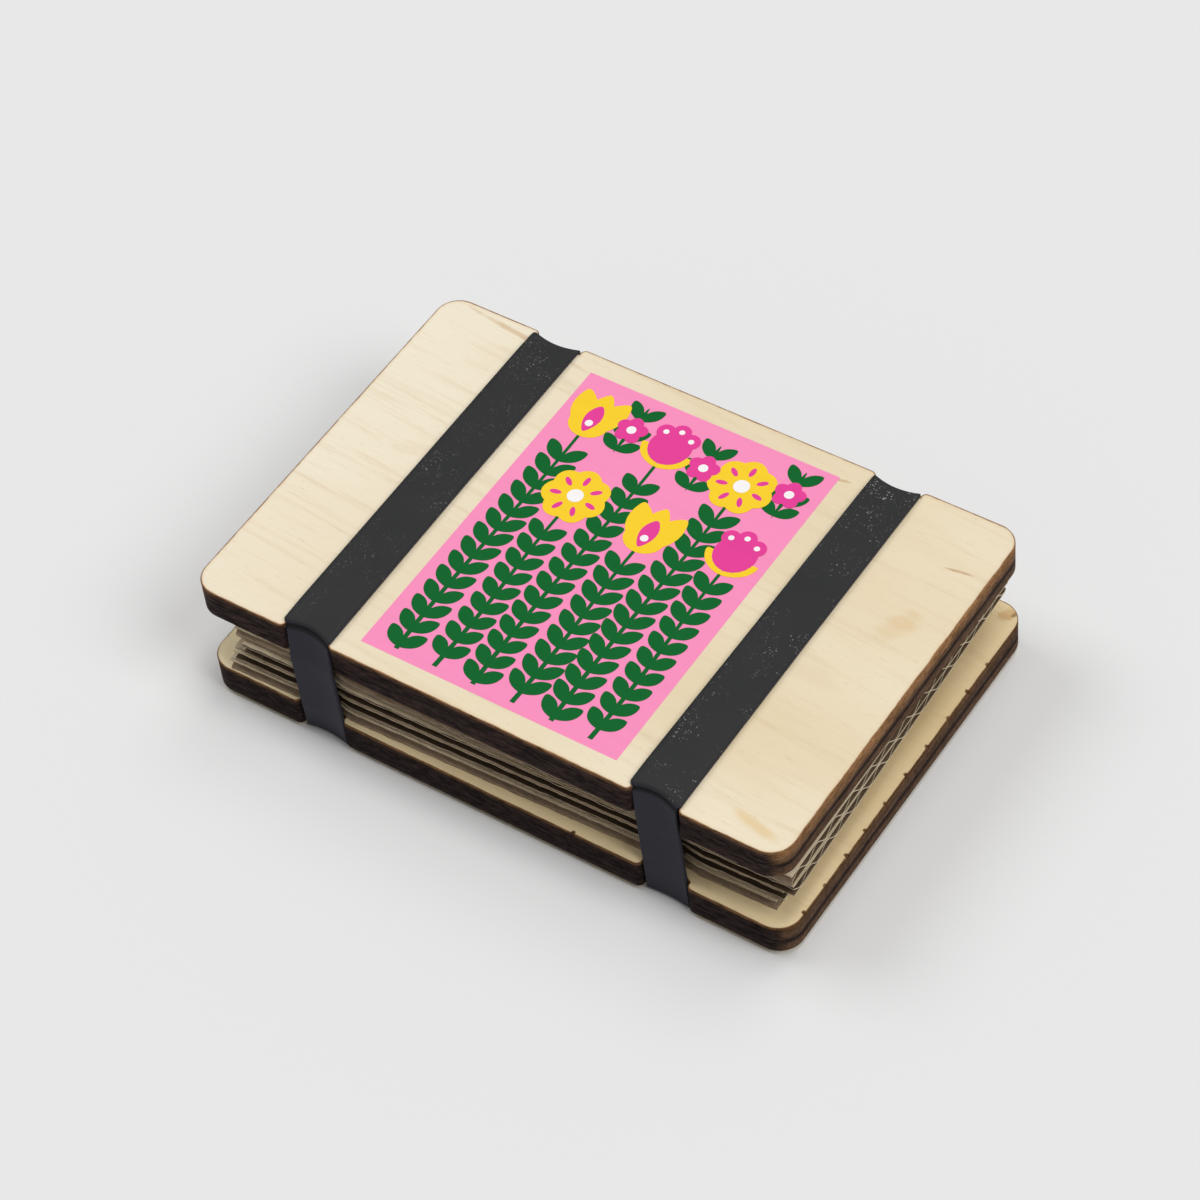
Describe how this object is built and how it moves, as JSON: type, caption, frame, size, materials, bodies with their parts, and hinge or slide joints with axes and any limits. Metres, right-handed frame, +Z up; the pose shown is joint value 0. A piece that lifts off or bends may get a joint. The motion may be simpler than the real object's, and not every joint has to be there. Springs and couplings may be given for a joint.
{
  "type": "flower press",
  "caption": "Small flower press of two notched plywood boards with corrugated cardboards and blotting papers between them, held shut by flat rubber bands.",
  "frame": {"origin": "middle of the footprint of the two boards, on the surface that the press stands on, which is the underside of the two bands", "axes": "+X along the boards to the right, +Y from the front long edge to the back, +Z up out of the top board's face"},
  "size_m": [0.1216, 0.0816, 0.0261],
  "materials": {
    "plywood": "sanded birch plywood with dark laser-cut edges",
    "cardboard": "matt corrugated board",
    "blotting_paper": "matt, absorbent",
    "rubber": "matt, slightly dusty"
  },
  "bodies": {
    "base": {"bottom_board": "plywood", "band_left": "rubber", "band_right": "rubber"},
    "cardboard_1": {"cardboard_1": "cardboard"},
    "blotting_paper_1": {"blotting_paper_1": "blotting_paper"},
    "blotting_paper_2": {"blotting_paper_2": "blotting_paper"},
    "cardboard_2": {"cardboard_2": "cardboard"},
    "blotting_paper_3": {"blotting_paper_3": "blotting_paper"},
    "blotting_paper_4": {"blotting_paper_4": "blotting_paper"},
    "cardboard_3": {"cardboard_3": "cardboard"},
    "blotting_paper_5": {"blotting_paper_5": "blotting_paper"},
    "blotting_paper_6": {"blotting_paper_6": "blotting_paper"},
    "cardboard_4": {"cardboard_4": "cardboard"},
    "top_board": {"top_board": "plywood"}
  },
  "joints": [
    {"name": "cardboard_1_lift", "type": "slide", "parent": "base", "child": "cardboard_1", "axis": [0, 0, 1], "range_m": [0, 0.002], "deforming": ["band_left", "band_right"]},
    {"name": "blotting_paper_1_lift", "type": "slide", "parent": "cardboard_1", "child": "blotting_paper_1", "axis": [0, 0, 1], "range_m": [0, 0.002], "deforming": ["band_left", "band_right"]},
    {"name": "blotting_paper_2_lift", "type": "slide", "parent": "blotting_paper_1", "child": "blotting_paper_2", "axis": [0, 0, 1], "range_m": [0, 0.005], "deforming": ["band_left", "band_right"]},
    {"name": "cardboard_2_lift", "type": "slide", "parent": "blotting_paper_2", "child": "cardboard_2", "axis": [0, 0, 1], "range_m": [0, 0.002], "deforming": ["band_left", "band_right"]},
    {"name": "blotting_paper_3_lift", "type": "slide", "parent": "cardboard_2", "child": "blotting_paper_3", "axis": [0, 0, 1], "range_m": [0, 0.002], "deforming": ["band_left", "band_right"]},
    {"name": "blotting_paper_4_lift", "type": "slide", "parent": "blotting_paper_3", "child": "blotting_paper_4", "axis": [0, 0, 1], "range_m": [0, 0.005], "deforming": ["band_left", "band_right"]},
    {"name": "cardboard_3_lift", "type": "slide", "parent": "blotting_paper_4", "child": "cardboard_3", "axis": [0, 0, 1], "range_m": [0, 0.002], "deforming": ["band_left", "band_right"]},
    {"name": "blotting_paper_5_lift", "type": "slide", "parent": "cardboard_3", "child": "blotting_paper_5", "axis": [0, 0, 1], "range_m": [0, 0.002], "deforming": ["band_left", "band_right"]},
    {"name": "blotting_paper_6_lift", "type": "slide", "parent": "blotting_paper_5", "child": "blotting_paper_6", "axis": [0, 0, 1], "range_m": [0, 0.005], "deforming": ["band_left", "band_right"]},
    {"name": "cardboard_4_lift", "type": "slide", "parent": "blotting_paper_6", "child": "cardboard_4", "axis": [0, 0, 1], "range_m": [0, 0.002], "deforming": ["band_left", "band_right"]},
    {"name": "top_board_lift", "type": "slide", "parent": "cardboard_4", "child": "top_board", "axis": [0, 0, 1], "range_m": [0, 0.002], "deforming": ["band_left", "band_right"]}
  ]
}
